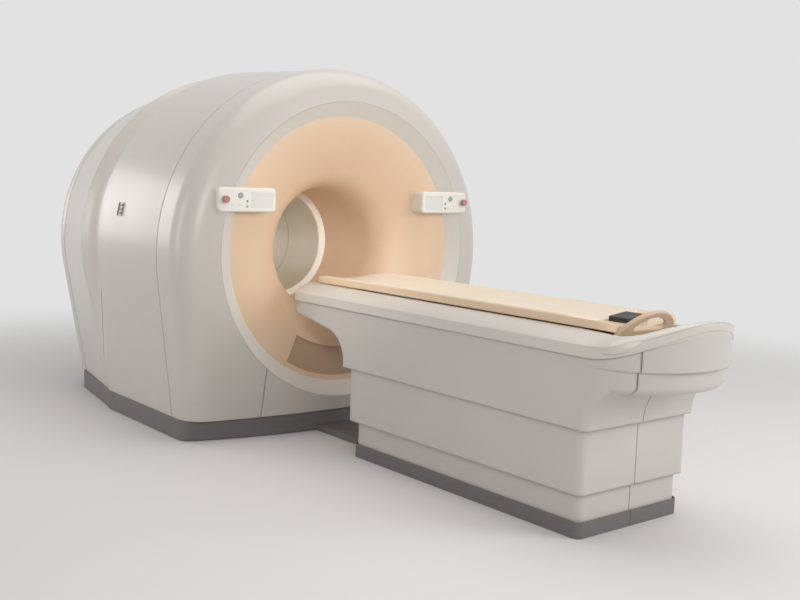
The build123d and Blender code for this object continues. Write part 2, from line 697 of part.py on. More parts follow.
drive_reach = FAR * math.tan(math.radians(DRIVE_SPAN / 2))
drive = ring(RIM_R + DRIVE_GAP, RIM_R + DRIVE_GAP + DRIVE_T, RIM_Y, STATOR_Y)
save("rotor_drive_motor", drive & slab(
    [(0, AXIS_Z), (-drive_reach, AXIS_Z - FAR), (drive_reach, AXIS_Z - FAR)], RIM_Y, FAR))

# what turns with the rotor
focus_z = AXIS_Z + TUBE_OUT
tube = rod(TUBE_R, 0, focus_z, TUBE_FRONT_Y + TUBE_CAP, DISC_Y)
tube += rod(TUBE_NECK_R, 0, focus_z, TUBE_FRONT_Y, TUBE_FRONT_Y + TUBE_CAP)
tube += box(-TUBE_NECK_R, TUBE_NECK_R, COLLIMATOR_Y, DISC_Y, AXIS_Z + COLLIMATOR_HIGH, focus_z)
save("xray_tube", tube)
collimator = box(-COLLIMATOR_X, COLLIMATOR_X, COLLIMATOR_Y, DISC_Y,
                 AXIS_Z + COLLIMATOR_LOW, AXIS_Z + COLLIMATOR_HIGH)
collimator -= box(-TUBE_NECK_R, TUBE_NECK_R, -COLLIMATOR_SLOT / 2, COLLIMATOR_SLOT / 2, 0, FAR)
save("beam_collimator", collimator)
detector = rod(DETECTOR_R + DETECTOR_T, 0, focus_z, DETECTOR_Y, DISC_Y)
detector -= rod(DETECTOR_R, 0, focus_z, DETECTOR_Y, DISC_Y)
fan = FAR * math.tan(math.radians(DETECTOR_HALF))
fan_zone = slab([(0, focus_z), (-fan, focus_z - FAR), (fan, focus_z - FAR)], DETECTOR_Y, FAR)
save("detector_arc", detector & fan_zone)
tank = box(-TANK_OUT, -TANK_IN, TANK_Y, DISC_Y, AXIS_Z - TANK_HALF, AXIS_Z + TANK_HALF)
tank = fillet(tank.edges().filter_by(Axis.Y), TANK_ROUND)
save("high_voltage_tanks", tank, mirror(tank, Plane.YZ))

# PET ring, its frame and shield
modules = []
for n in range(MODULES):
    block = box(-MODULE_W / 2, MODULE_W / 2, MODULE_Y, PET_FRAME_Y, MODULE_IN_R, MODULE_OUT_R)
    modules.append(Pos(0, 0, AXIS_Z) * Rot(0, 360.0 * n / MODULES, 0) * block)
save("pet_detector_modules", *modules)
frame_back = PET_FRAME_Y + PET_FRAME_T
pet_floor = PET_TRAY_Z + TRAY_FLOOR
pet_frame = rod(PET_FRAME_R, 0, AXIS_Z, PET_FRAME_Y, frame_back)
pet_frame += box(-PET_FRAME_FOOT_X, PET_FRAME_FOOT_X, PET_FRAME_Y, frame_back, pet_floor, AXIS_Z)
save("pet_ring_frame", pet_frame - rod(TUNNEL_R + LINER_T, 0, AXIS_Z, 0, FAR))
save("pet_lead_shield", ring(TUNNEL_R + LINER_T, SHIELD_R, MODULE_Y - SHIELD_T, MODULE_Y))


# control panels with screens, keys and lamps
def front_stub(radius, x, z, low, high):
    """A round piece standing on the panel front, from low to high in front of it."""
    return rod(radius, x, z, POD_FRONT_Y - high, POD_FRONT_Y - low)


def key_block(x, grow, low, high):
    face = Pos(x, KEY_Z) * RectangleRounded(KEY_W + 2 * grow, KEY_TALL + 2 * grow, KEY_CORNER)
    return extrude(Plane.XZ.offset(-(POD_FRONT_Y - low)) * face, high - low)


screens, lamps = [], []
front_solid = front_outer - rod(RING_R, 0, AXIS_Z, RING_Y - FAR, SEAM_Y)
ring_and_bell = turned(Polyline(
    (RING_R, RING_Y), (BELL_R, BELL_Y), (BELL_R, SEAM_Y), (RING_R, SEAM_Y), close=True))
for side, sign in (("left", -1), ("right", 1)):
    pod = box(POD_IN_X, POD_OUT_X, POD_FRONT_Y, POD_BACK_Y, POD_LOW, POD_HIGH)
    pod = fillet(pod.edges().filter_by(Axis.Y), POD_CORNER)
    pod = chamfer(pod.faces().sort_by(Axis.Y)[0].edges(), POD_EDGE)
    pod = pod - front_solid - ring_and_bell - bell_solid
    screen_y = POD_FRONT_Y + SCREEN_SINK
    pod -= box(SCREEN_IN_X, SCREEN_OUT_X, POD_FRONT_Y - SEAM, screen_y, SCREEN_LOW, SCREEN_HIGH)
    screen = box(SCREEN_IN_X, SCREEN_OUT_X, screen_y - SCREEN_T, screen_y, SCREEN_LOW, SCREEN_HIGH)
    pod += front_stub(STOP_COLLAR_R, STOP_X, STOP_Z, 0, STOP_COLLAR_H)
    pod -= front_stub(STOP_STEM_R + SLIDE, STOP_X, STOP_Z, -KEY_WELL, STOP_COLLAR_H)
    stop_low = STOP_COLLAR_H + STOP_TRAVEL + FIT
    stop = front_stub(STOP_R, STOP_X, STOP_Z, stop_low, stop_low + STOP_H)
    stop = chamfer(stop.edges().sort_by(Axis.Y)[0], KEY_CORNER)
    stop += front_stub(STOP_STEM_R, STOP_X, STOP_Z, STOP_TRAVEL + FIT - KEY_WELL, stop_low)
    pod -= front_stub(DIAL_R + FIT, DIAL_X, DIAL_Z, -KEY_WELL, POD_EDGE)
    dial_back = KEY_TRAVEL + FIT - KEY_WELL
    dial = front_stub(DIAL_R, DIAL_X, DIAL_Z, dial_back, DIAL_H)
    place = (lambda s: mirror(s, Plane.YZ)) if sign < 0 else (lambda s: s)
    for z in LAMP_ZS:
        pod -= front_stub(LAMP_R, LAMP_X, z, -LAMP_WELL, POD_EDGE)
        lamps.append(place(front_stub(LAMP_R, LAMP_X, z, -LAMP_WELL, LAMP_H)))
    for x in KEY_XS:
        pod += key_block(x, 0, -KEY_H, KEY_H)
    screens.append(place(screen))
    save(f"{side}_panel_housing", place(pod))
    save(f"{side}_stop_button", place(stop))
    save(f"{side}_dial_key", place(dial))
save("panel_screens", *screens)
save("panel_lamps", *lamps)

# table base
save("floor_duct", box(-DUCT_X, DUCT_X, BASE_Y1, SKIRT_NOSE_Y + TRAY_RIM, 0, DUCT_H)
     - extrude(ct_plan(0), SKIRT_TOP))


def tub(width, y0, y1, z0, z1, wall):
    """A rounded wall around a plan rectangle, open above and below."""
    inner = plan(width - wall, y0 + wall, y1 - wall, z0, z1, COVER_CORNER - wall)
    return plan(width, y0, y1, z0, z1, COVER_CORNER) - inner


plate_y0, plate_y1 = BASE_Y0 + TABLE_WALL, BASE_Y1 - TABLE_WALL
plate_corner = COVER_CORNER - TABLE_WALL
save("table_base_plate", plan(BASE_X - TABLE_WALL, plate_y0, plate_y1, 0, BASE_PLATE_H, plate_corner))
table_skirt = tub(BASE_X, BASE_Y0, BASE_Y1, 0, BASE_SKIRT_H, TABLE_WALL)
lower_tub = tub(LOWER_X, LOWER_Y0, LOWER_Y1, BASE_PLATE_H, LOWER_TOP, TABLE_WALL)
mid_tub = tub(MID_X, MID_Y0, MID_Y1, MID_LOW, MID_TOP, TABLE_WALL)
tubs = {"table_skirt": table_skirt, "lower_cover": lower_tub, "middle_cover": mid_tub}
for name, shape in tubs.items():
    save(name, half(shape, -1), half(shape, 1))


column_mid = COLUMN_OUT - 2 * COLUMN_WALL - 2 * SLIDE
column_in = column_mid - 2 * COLUMN_WALL - 2 * SLIDE


def square(side, y, z0, z1):
    return box(-side / 2, side / 2, y - side / 2, y + side / 2, z0, z1)


def column(side, z0, z1):
    hole = side - 2 * COLUMN_WALL
    return [square(side, y, z0, z1) - square(hole, y, z0, z1) for y in COLUMN_YS]


save("lift_column_bases", *column(COLUMN_OUT, BASE_PLATE_H, COLUMN_OUT_TOP))
middles = []
for y, tube in zip(COLUMN_YS, column(column_mid, COLUMN_MID_LOW, COLUMN_MID_TOP)):
    reach, y0, y1 = MID_X - TABLE_WALL, y - BRACKET_Y / 2, y + BRACKET_Y / 2
    arms = box(-reach, reach, y0, y1, BRACKET_Z, BRACKET_Z + BRACKET_H)
    middles.append(tube + arms - square(column_mid - 2 * COLUMN_WALL, y, 0, FAR))
save("lift_column_middles", *middles)
save("lift_column_rams", *column(column_in, COLUMN_IN_LOW, CHASSIS_Z))
chassis = box(-CHASSIS_X, CHASSIS_X, CHASSIS_Y0, CHASSIS_Y1, CHASSIS_Z, RIM_Z)


# upper cover, prow and deck: a side view carried across, cut to a plan with a rounded foot
def foot_plan(width, tip, shoulder):
    bow = ThreePointArc((-width, shoulder), (0, tip), (width, shoulder))
    sides = Polyline((width, shoulder), (width, NOSE_Y), (-width, NOSE_Y), (-width, shoulder))
    face = make_face([bow, *sides.edges()])
    turns = [v for v in face.vertices() if v.Y < RISE_Y]
    return extrude(fillet(turns, PROW_SHOULDER_R), FAR)


def across(lines):
    return extrude(Plane.YZ.offset(-FAR / 2) * make_face(lines), FAR)


def rise_line(lift, tip_lift):
    """The rim's run from the foot to the nose, raised by a height at the nose and one at the tip."""
    foot, start = (PROW_Y, RIM_Z + RISE + tip_lift), (RISE_Y, RIM_Z + lift)
    return [TangentArc(start, foot, tangent=(-1, 0)), Line(start, (NOSE_Y, RIM_Z + lift))]


def above(lift, tip_lift):
    """All that lies over the rim's run, raised as that run is."""
    tip, nose = (PROW_Y, RIM_Z + RISE + tip_lift), (NOSE_Y, RIM_Z + lift)
    high_tip, high_nose = (PROW_Y, FAR), (NOSE_Y, FAR)
    return across([*rise_line(lift, tip_lift), Line(tip, high_tip), Line(high_tip, high_nose),
                   Line(high_nose, nose)])


def foot_edges(solid, level):
    """The prow's lower edge and the two edges of the cove below it."""
    found = []
    for edge in solid.edges():
        reach = edge.bounding_box()
        on_prow = abs(reach.min.Z - level) < FIT and reach.size.Z < FIT and reach.max.Y < COVE_Y + SEAM
        on_cove = reach.min.Z < level - SEAM and edge.geom_type == GeomType.CIRCLE and reach.max.Y < RISE_Y
        if (on_prow and reach.size.X < UPPER_X) or on_cove:
            found.append(edge)
    return found


def cover_form(trim):
    """The upper cover as a solid; the trimmed one is its hollow, open below and above."""
    low, top = UPPER_LOW - trim, trim
    nose_y, y0, y1 = NOSE_Y - trim, UPPER_Y0 + trim, UPPER_Y1 - trim
    under_nose, cove_end = (NOSE_LOW_Y, NOSE_LOW_Z + trim), (COVE_Y, PROW_LOW_Z + trim)
    tip = (PROW_Y, PROW_LOW_Z + trim)
    side = across([
        ThreePointArc((y1, low), (NOSE_ARC_Y - trim, NOSE_ARC_Z + trim), under_nose),
        Line(under_nose, (NOSE_Y, NOSE_TIP_Z + trim)),
        Line((NOSE_Y, NOSE_TIP_Z + trim), (NOSE_Y, RIM_Z + top)),
        *rise_line(top, top),
        Line((PROW_Y, RIM_Z + RISE + top), tip),
        Line(tip, cove_end),
        ThreePointArc(cove_end, (COVE_MID_Y + trim, COVE_MID_Z + trim), (y0, low)),
        Line((y0, low), (y1, low)),
    ])
    width, shoulder = UPPER_X - trim, PROW_Y + PROW_ROUND
    high = foot_plan(width, PROW_Y + PROW_INSET + trim, shoulder)
    short = foot_plan(width, PROW_Y + PROW_INSET + PROW_TIER + trim, shoulder)
    split = box(-FAR, FAR, -FAR, RISE_Y, 0, PROW_TIER_Z + trim)
    solid = side & (high - split + (short & split)) & box(-FAR, FAR, -FAR, nose_y, 0, FAR)
    return fillet(foot_edges(solid, PROW_LOW_Z + trim), PROW_EDGE_R - trim)


cover_shell = cover_form(0) - cover_form(TABLE_WALL)
prow_zone = box(-PROW_SEAM_X, PROW_SEAM_X, -FAR, COVE_Y, 0, FAR)
prow_gap = box(-PROW_SEAM_X - SEAM, PROW_SEAM_X + SEAM, -FAR, COVE_Y + SEAM, 0, FAR)
save("foot_prow", cover_shell & prow_zone)
for side, sign in (("left", -1), ("right", 1)):
    save(f"upper_cover_{side}", half(cover_shell - prow_gap, sign))

# deck: a band round the rim with a dish in it, and shoulders that rise to the pallet's edges
deck_plan = foot_plan(DECK_X, PROW_Y, PROW_Y + PROW_ROUND)
over_rim = above(0, 0) & deck_plan
dish_floor, tip_floor = DECK_H - DISH_DEPTH, DECK_TIP_H - DISH_DEPTH
dish = above(dish_floor, tip_floor) & foot_plan(DECK_X - DISH_EDGE, PROW_Y + DISH_EDGE, PROW_Y + PROW_ROUND)
dish = dish & box(-FAR, FAR, -FAR, DISH_NOSE_Y, 0, FAR)
deck = over_rim - above(DECK_H, DECK_TIP_H) - dish
bed = RIM_Z + dish_floor
shoulder_x, shoulder_top = PALLET_X - SHOULDER_GAP, RIM_Z + SHOULDER_H
fade_y, fade_end_y = RISE_Y + SHOULDER_FADE_IN, RISE_Y - SHOULDER_FOOT_OUT
crest = ThreePointArc((DECK_X, RIM_Z + DECK_H), (DECK_X - SHOULDER_MID_IN, RIM_Z + SHOULDER_MID_H),
                      (shoulder_x, shoulder_top))
section = [crest, Line((shoulder_x, shoulder_top), (shoulder_x, RIM_Z)),
           Line((shoulder_x, RIM_Z), (DECK_X, RIM_Z)), Line((DECK_X, RIM_Z), (DECK_X, RIM_Z + DECK_H))]
shoulder = extrude(Plane.XZ.offset(-fade_end_y) * make_face(section), fade_end_y - NOSE_Y)
fade = across([
    TangentArc((fade_y, shoulder_top), (fade_end_y, bed), tangent=(-1, 0)),
    Line((fade_y, shoulder_top), (NOSE_Y, shoulder_top)),
    Line((NOSE_Y, shoulder_top), (NOSE_Y, RIM_Z)),
    Line((NOSE_Y, RIM_Z), (fade_end_y, RIM_Z)),
    Line((fade_end_y, RIM_Z), (fade_end_y, bed)),
])
shoulder = both(shoulder & fade) & over_rim
passage = box(TRACK_X - RUNNER_W / 2 - RUNNER_GAP, TRACK_X + RUNNER_W / 2 + RUNNER_GAP,
              DISH_NOSE_Y, NOSE_Y, bed, FAR)
save("table_deck", deck - both(passage) + shoulder)

# pallet on its tracks
tracks = [box(x - TRACK_W / 2, x + TRACK_W / 2, TRACK_Y0, TRACK_Y1, bed, bed + TRACK_H)
          for x in (-TRACK_X, TRACK_X)]
save("table_chassis", chassis, *tracks)


def hollow_radius(sag):
    """The radius of an arc across the pallet with this sag."""
    return (PALLET_X ** 2 + sag ** 2) / (2 * sag)


def bed_rod(radius, low):
    return rod(radius, 0, low + radius, -FAR, 0)


belly_r = hollow_radius(PALLET_EDGE_LOW - PALLET_LOW)
hollow_r = hollow_radius(PALLET_EDGE_TOP - PALLET_TOP)
belly, hollow = bed_rod(belly_r, PALLET_LOW), bed_rod(hollow_r, PALLET_TOP)


def bed_plan(trim, y0, y1):
    """The pallet's plan, rounder at the head than at the foot, or one set in from it."""
    face = Pos(0, (y0 + y1) / 2) * Rectangle(2 * (PALLET_X - trim), y1 - y0)
    corners = face.vertices().sort_by(Axis.Y)
    face = fillet(corners[:2], PALLET_CORNER - trim)
    return extrude(fillet(face.vertices().sort_by(Axis.Y)[-2:], PALLET_HEAD_R - trim), AXIS_Z)


pallet = (bed_plan(0, PALLET_Y0, PALLET_Y1) & belly) - hollow
save("pallet", pallet)
pad = bed_plan(PAD_IN, PAD_Y0, PAD_Y1) & hollow
clamp = Pos(CLAMP_X, CLAMP_Y, CLAMP_Z) * Rot(0, -CLAMP_LEAN, 0) * Box(CLAMP_W, CLAMP_L, CLAMP_T)
clamp = chamfer(clamp.edges(), CLAMP_BEVEL) - pallet
save("pallet_pad", pad - bed_rod(hollow_r, PALLET_TOP + PAD_T) - clamp)
save("pallet_clamp_block", clamp)
runners = []
for x in (-TRACK_X, TRACK_X):
    x0, x1, slot = x - RUNNER_W / 2, x + RUNNER_W / 2, TRACK_W / 2 + SLIDE
    runner = box(x0, x1, RUNNER_Y0, RUNNER_Y0 + RUNNER_L, bed + FIT, PALLET_TOP)
    runner -= box(x - slot, x + slot, -FAR, 0, 0, bed + TRACK_H + SLIDE)
    runners.append(runner - belly)
save("pallet_runners", *runners)

# pull loop at the pallet's foot: a flat slotted ring, leaning out toward its top


def arch(width, tall, corner):
    """A flat arch on a straight foot, its two low corners rounded."""
    crown = ThreePointArc((-width / 2, 0), (0, tall), (width / 2, 0))
    return fillet(make_face([crown, Line((-width / 2, 0), (width / 2, 0))]).vertices(), corner)


ring_face = arch(LOOP_W, LOOP_TALL, LOOP_R)
ring_face -= Pos(0, LOOP_SLOT_UP) * arch(LOOP_SLOT_W, LOOP_SLOT_H, LOOP_SLOT_R)
loop = extrude(ring_face, LOOP_T)
loop = chamfer(loop.edges().filter_by(Axis.Z, reverse=True), LOOP_EDGE)
lift = Pos(0, PALLET_Y0, LOOP_Z) * Rot(90 + LOOP_LEAN, 0, 0)
loop = lift * Pos(0, -LOOP_T, -LOOP_T / 2) * loop
save("pallet_pull_loop", loop - pallet)
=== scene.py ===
import bpy
import bmesh
import json
import math
from mathutils import Matrix, Vector, noise


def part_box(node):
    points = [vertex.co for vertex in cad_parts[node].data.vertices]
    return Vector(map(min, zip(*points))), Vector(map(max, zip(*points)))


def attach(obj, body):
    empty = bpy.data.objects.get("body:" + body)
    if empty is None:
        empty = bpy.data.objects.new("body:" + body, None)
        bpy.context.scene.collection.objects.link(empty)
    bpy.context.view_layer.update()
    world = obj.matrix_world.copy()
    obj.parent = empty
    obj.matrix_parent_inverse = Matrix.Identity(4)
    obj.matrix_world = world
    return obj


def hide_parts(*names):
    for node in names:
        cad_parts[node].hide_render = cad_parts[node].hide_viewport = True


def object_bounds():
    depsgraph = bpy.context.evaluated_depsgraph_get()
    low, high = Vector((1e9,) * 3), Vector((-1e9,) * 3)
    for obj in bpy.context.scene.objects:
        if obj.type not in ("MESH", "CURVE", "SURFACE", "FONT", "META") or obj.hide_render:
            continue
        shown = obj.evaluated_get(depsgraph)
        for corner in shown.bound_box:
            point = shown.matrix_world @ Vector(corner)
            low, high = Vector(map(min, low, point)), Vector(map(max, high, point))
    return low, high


# A PET-CT scanner with its patient table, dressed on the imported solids, in metres.

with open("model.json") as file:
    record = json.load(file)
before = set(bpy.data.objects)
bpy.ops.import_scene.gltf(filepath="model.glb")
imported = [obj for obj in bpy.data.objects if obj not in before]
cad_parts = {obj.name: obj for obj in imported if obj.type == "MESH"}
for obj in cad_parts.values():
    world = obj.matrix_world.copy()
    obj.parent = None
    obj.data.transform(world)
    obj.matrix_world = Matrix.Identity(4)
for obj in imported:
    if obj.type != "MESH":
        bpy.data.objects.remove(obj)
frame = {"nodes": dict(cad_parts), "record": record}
cad_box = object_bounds()
nodes = frame["nodes"]
slot_of = {part["node"]: part["material_slot"] for part in frame["record"]["subparts"]}
bodies = frame["record"]["behaviour"]["bodies"]
body_of = {node: body for body, group in bodies.items() for node in group}

# camera, solved from the photograph's outline
IMAGE_WIDTH = 800
FOCAL_PIXELS = 1054.926
SENSOR = 36.0
EYE = Vector((-3.55016, -5.39270, 1.44913))
YAW = 0.680567
PITCH = 0.114984
ROLL = 0.032872

# backdrop tone and the floor's fade into it
BACKDROP = 0.760
AMBIENT = 0.40
FLOOR_TONE = 0.72
FLOOR_Y = -0.8
FLOOR_GAP = 0.0005
FLOOR_CLEAR = 2.6
FLOOR_GONE = 6.5

# studio lamps: place, aim, width and height, watts, and spread in degrees
WARM_WHITE = (1.0, 0.985, 0.96)
LAMPS = {
    "overhead": ((0.6, -1.2, 5.6), (0.0, -0.8, 0.8), (5.0, 6.0), 150, 180),
    "foot_side": ((3.8, -6.8, 3.0), (0.0, -1.0, 0.8), (3.5, 3.0), 188, 180),
    "front_fill": ((-3.2, -5.6, 2.4), (0.0, 0.0, 1.0), (1.8, 1.8), 65, 180),
    "flank_side": ((-3.1, 4.8, 2.1), (-1.0, 0.3, 1.2), (1.6, 2.2), 6.5, 70),
    "left_fill": ((-5.6, 0.7, 2.0), (-1.0, 1.0, 0.95), (2.0, 2.4), 11, 70),
    "bore_fill": ((-2.6, -5.2, 2.2), (0.12, -0.3, 1.04), (0.6, 0.6), 0.9, 12),
    "deck_fill": ((-3.0, -3.0, 3.2), (-0.3, -0.9, 0.85), (0.6, 0.6), 0.3, 14),
    "through_bore": ((0.9, 3.6, 1.2), (-0.25, 0.9, 1.0), (0.5, 0.5), 2.6, 18),
}

# tops of the skirts round the gantry and the table
SKIRT_TOP = 0.115
TABLE_SKIRT_TOP = 0.070

# gantry hull at its two seams: arc radius, foot half-width and place along Y
HULL_Z = 1.000
FRONT_SEAM = (1.050, 0.950, -0.2395)
TAIL_SEAM = (0.966, 0.820, 1.2515)
GASKET_SINK = 0.0035
GASKET_WIDE = 0.0024
GASKET_DEEP = 0.0060
GASKET_STEPS = 120

# pallet pad
PAD_ROWS = 64
PAD_COLUMNS = 300
PAD_FOOT_CORNER = 0.046
PAD_HEAD_CORNER = 0.126
PAD_EDGE = 0.010
PAD_WELD = 0.016
PAD_WELD_WIDTH = 0.0022
PAD_WELD_DEPTH = 0.0012
PAD_UNEVEN = 0.0007
PAD_CROWDING = 1.6
PAD_MERGE = 0.00005

# funnel, and the deck's rim at the foot: its run along Y and its plan round the prow
AXIS_Z = 1.030
FUNNEL_LIP_R = 0.725
RIM_Z = 0.812
TIP_Z = 0.926
RISE_Y = -2.640
PROW_Y = -2.981
PROW_ROUND = 0.210
DECK_X = 0.374
DISH_DEPTH = 0.026

# crest of the deck's shoulders from the pallet round the prow:
# rim x and y, crest x, y and z, and the run of the inner slope
FOOT_CREST = (
    (0.3740, -2.390, 0.2434, -2.390, 0.8574, 0.000),
    (0.3740, -2.440, 0.2434, -2.440, 0.8572, 0.000),
    (0.3740, -2.550, 0.2434, -2.550, 0.8568, 0.000),
    (0.3740, -2.640, 0.2456, -2.640, 0.8538, 0.006),
    (0.3740, -2.705, 0.258, -2.700, 0.8538, 0.030),
    (0.3720, -2.770, 0.274, -2.755, 0.8595, 0.045),
    (0.3355, -2.8245, 0.272, -2.805, 0.8690, 0.050),
    (0.2815, -2.8785, 0.246, -2.845, 0.8820, 0.050),
    (0.2190, -2.9223, 0.196, -2.886, 0.9010, 0.050),
    (0.1498, -2.9546, 0.138, -2.918, 0.9160, 0.050),
    (0.0760, -2.9743, 0.072, -2.940, 0.9250, 0.050),
    (0.0000, -2.9810, 0.000, -2.948, 0.9285, 0.050),
)
CREST_STEPS = 8
CREST_ARC = 16
CREST_SLOPE = 7
CREST_MID_IN = 0.308
CREST_MID_UP = 0.630
CREST_SINK = 0.0005
CREST_LIFT = 0.0012
CREST_RAMP = 0.050

# flank keypad: shares of its width, and the keys' spacing in height
BAR_FROM_SHARE = 0.64
BAR_TO_SHARE = 0.95
KEYS_SHARE = 0.50
KEY_PHASE = 0.1085
KEY_PITCH = 0.0109
KEY_HALF = 0.0062

# edge easing of moulded pieces
WELD = 0.00002
FLAT_ANGLE = math.radians(0.4)
FINE_EASE = 0.0010
SOFT_EASE = 0.0040
PALLET_EASE = 0.0080
EASE_ANGLE = math.radians(30)
CREASE_ANGLE = math.radians(50)
SHELL_LIP = 0.012
DECK_LIP = 0.011

# the usual span of a noise value
NOISE_LOW = 0.3
NOISE_HIGH = 0.7


# node shorthand for the finishes
class Finish:
    """A procedural material in the making, on object coordinates."""

    def __init__(self, name, roughness, metallic=0.0, coat=0.0, coat_roughness=0.12, sheen=0.0):
        self.material = bpy.data.materials.new(name)
        self.material.use_nodes = True
        self.tree = self.material.node_tree
        self.shader = self.tree.nodes["Principled BSDF"]
        for socket, value in (("Roughness", roughness), ("Metallic", metallic), ("Coat Weight", coat),
                              ("Coat Roughness", coat_roughness), ("Sheen Weight", sheen)):
            self.shader.inputs[socket].default_value = value
        self.place = self.tree.nodes.new("ShaderNodeTexCoord").outputs["Object"]

    def add(self, kind, **settings):
        node = self.tree.nodes.new(kind)
        for key, value in settings.items():
            setattr(node, key, value)
        return node

    def join(self, source, target):
        self.tree.links.new(source, target)

    def stretched(self, scale):
        mapping = self.add("ShaderNodeMapping")
        mapping.inputs["Scale"].default_value = scale
        self.join(self.place, mapping.inputs["Vector"])
        return mapping.outputs["Vector"]

    def axis(self, letter):
        split = self.add("ShaderNodeSeparateXYZ")
        self.join(self.place, split.inputs["Vector"])
        return split.outputs[letter]

    def math(self, operation, *terms):
        node = self.add("ShaderNodeMath", operation=operation)
        for socket, term in zip(node.inputs, terms):
            if isinstance(term, (int, float)):
                socket.default_value = term
            else:
                self.join(term, socket)
        return node.outputs["Value"]

    def noise(self, scale, detail=3.0, place=None):
        noise_node = self.add("ShaderNodeTexNoise")
        noise_node.inputs["Scale"].default_value = scale
        noise_node.inputs["Detail"].default_value = detail
        self.join(place or self.place, noise_node.inputs["Vector"])
        return noise_node.outputs["Fac"]

    def ramp(self, source, *stops):
        ramp = self.add("ShaderNodeValToRGB")
        elements = ramp.color_ramp.elements
        while len(elements) < len(stops):
            elements.new(0.5)
        for element, (at, colour) in zip(elements, stops):
            element.position = at
            element.color = (*colour, 1.0)
        self.join(source, ramp.inputs["Fac"])
        return ramp.outputs["Color"]

    def mixed(self, share, first, second):
        mix = self.add("ShaderNodeMix", data_type="RGBA")
        self.join(share, mix.inputs["Factor"])
        self.join(first, mix.inputs["A"])
        self.join(second, mix.inputs["B"])
        return mix.outputs["Result"]

    def colour(self, source):
        self.join(source, self.shader.inputs["Base Color"])

    def rough(self, source, low, high):
        spread = self.add("ShaderNodeMapRange")
        limits = {"From Min": NOISE_LOW, "From Max": NOISE_HIGH, "To Min": low, "To Max": high}
        for socket, value in limits.items():
            spread.inputs[socket].default_value = value
        self.join(source, spread.inputs["Value"])
        self.join(spread.outputs["Result"], self.shader.inputs["Roughness"])

    def relief(self, source, distance, lip=0.0):
        bump = self.add("ShaderNodeBump")
        bump.inputs["Distance"].default_value = distance
        if lip:
            # the lacquer runs round the panel lips
            rounded = self.add("ShaderNodeBevel", samples=6)
            rounded.inputs["Radius"].default_value = lip
            self.join(rounded.outputs["Normal"], bump.inputs["Normal"])
        self.join(source, bump.inputs["Height"])
        self.join(bump.outputs["Normal"], self.shader.inputs["Normal"])


def tinted(colour, share):
    return tuple(channel * share for channel in colour)


# finishes
def moulded(name, colour, rough, coat=0.0, grain=60.0, grain_depth=0.000005, drift=0.04, lip=0.0):
    """Moulded or sprayed plastic: slow drift of tone, uneven gloss and a fine skin."""
    low, high = rough
    skin = Finish(name, high, coat=coat)
    pale, deep = tinted(colour, 1.0 + drift), tinted(colour, 1.0 - drift)
    skin.colour(skin.ramp(skin.noise(1.7, 4.0), (0.25, deep), (0.75, pale)))
    skin.rough(skin.noise(9.0, 5.0), low, high)
    skin.relief(skin.noise(grain, 2.0), grain_depth, lip)
    return skin.material


def pearl(name, colour, rough, base, darker_reach):
    """Pearl lacquer over moulded covers: warm drift, slow waves, and a darker, streaked tone low down.
    """
    low, high = rough
    skin = Finish(name, high, coat=0.25, coat_roughness=0.24)
    drift = skin.ramp(skin.noise(1.3, 4.0),
                      (0.25, tinted(colour, 0.965)), (0.75, tinted(colour, 1.03)))
    streaked_low = skin.ramp(skin.noise(4.0, 6.0, skin.stretched((1.0, 1.0, 3.0))),
                      (0.3, tinted(colour, 0.93)), (0.7, colour))
    # darker and streaked towards the bottom, fading out a set height above the base
    height = skin.math("SUBTRACT", skin.axis("Z"), base)
    near_floor = skin.math("SUBTRACT", 1.0, skin.math("DIVIDE", height, darker_reach))
    near_floor = skin.math("MINIMUM", skin.math("MAXIMUM", near_floor, 0.0), 1.0)
    skin.colour(skin.mixed(near_floor, drift, streaked_low))
    skin.rough(skin.noise(7.0, 5.0), low, high)
    skin.relief(skin.noise(13.0, 1.0), 0.00003, SHELL_LIP)
    return skin.material


def brushed(name, colour, rough, along):
    """Drawn or ground metal with its marks along one axis."""
    low, high = rough
    metal = Finish(name, high, metallic=1.0)
    marks = metal.noise(60.0, 6.0, metal.stretched(along))
    metal.colour(metal.ramp(marks, (0.3, tinted(colour, 0.86)), (0.7, tinted(colour, 1.08))))
    metal.rough(marks, low, high)
    metal.relief(marks, 0.00005)
    return metal.material


def woven(name, colour):
    """Carbon-fibre shell under a tan gel coat: a fine two-way weave."""
    shell = Finish(name, 0.42, coat=0.2)
    bands = []
    for axis in ("X", "Y"):
        wave = shell.add("ShaderNodeTexWave", bands_direction=axis)
        wave.inputs["Scale"].default_value = 60.0
        wave.inputs["Distortion"].default_value = 0.4
        shell.join(shell.place, wave.inputs["Vector"])
        bands.append(wave.outputs["Fac"])
    cross = shell.math("MULTIPLY", *bands)
    tone = shell.ramp(shell.noise(2.4, 4.0),
                      (0.3, tinted(colour, 0.95)), (0.7, tinted(colour, 1.04)))
    weave = shell.ramp(cross, (0.0, tinted(colour, 0.94)), (0.8, tinted(colour, 1.02)))
    shell.colour(shell.mixed(shell.noise(5.0), tone, weave))
    shell.rough(shell.noise(14.0), 0.36, 0.48)
    shell.relief(cross, 0.00004)
    return shell.material


def vinyl(name, colour):
    """Soft wipe-clean pad cover with a pebbled grain."""
    cover = Finish(name, 0.5, sheen=0.06)
    cells = cover.add("ShaderNodeTexVoronoi", feature="SMOOTH_F1")
    cells.inputs["Scale"].default_value = 260.0
    cover.join(cover.place, cells.inputs["Vector"])
    rubbed = cover.noise(2.2, 5.0, cover.stretched((2.0, 0.8, 1.0)))
    cover.colour(cover.ramp(rubbed, (0.25, tinted(colour, 0.955)), (0.75, tinted(colour, 1.03))))
    cover.rough(cover.noise(22.0, 4.0), 0.44, 0.58)
    cover.relief(cells.outputs["Distance"], 0.00005)
    return cover.material


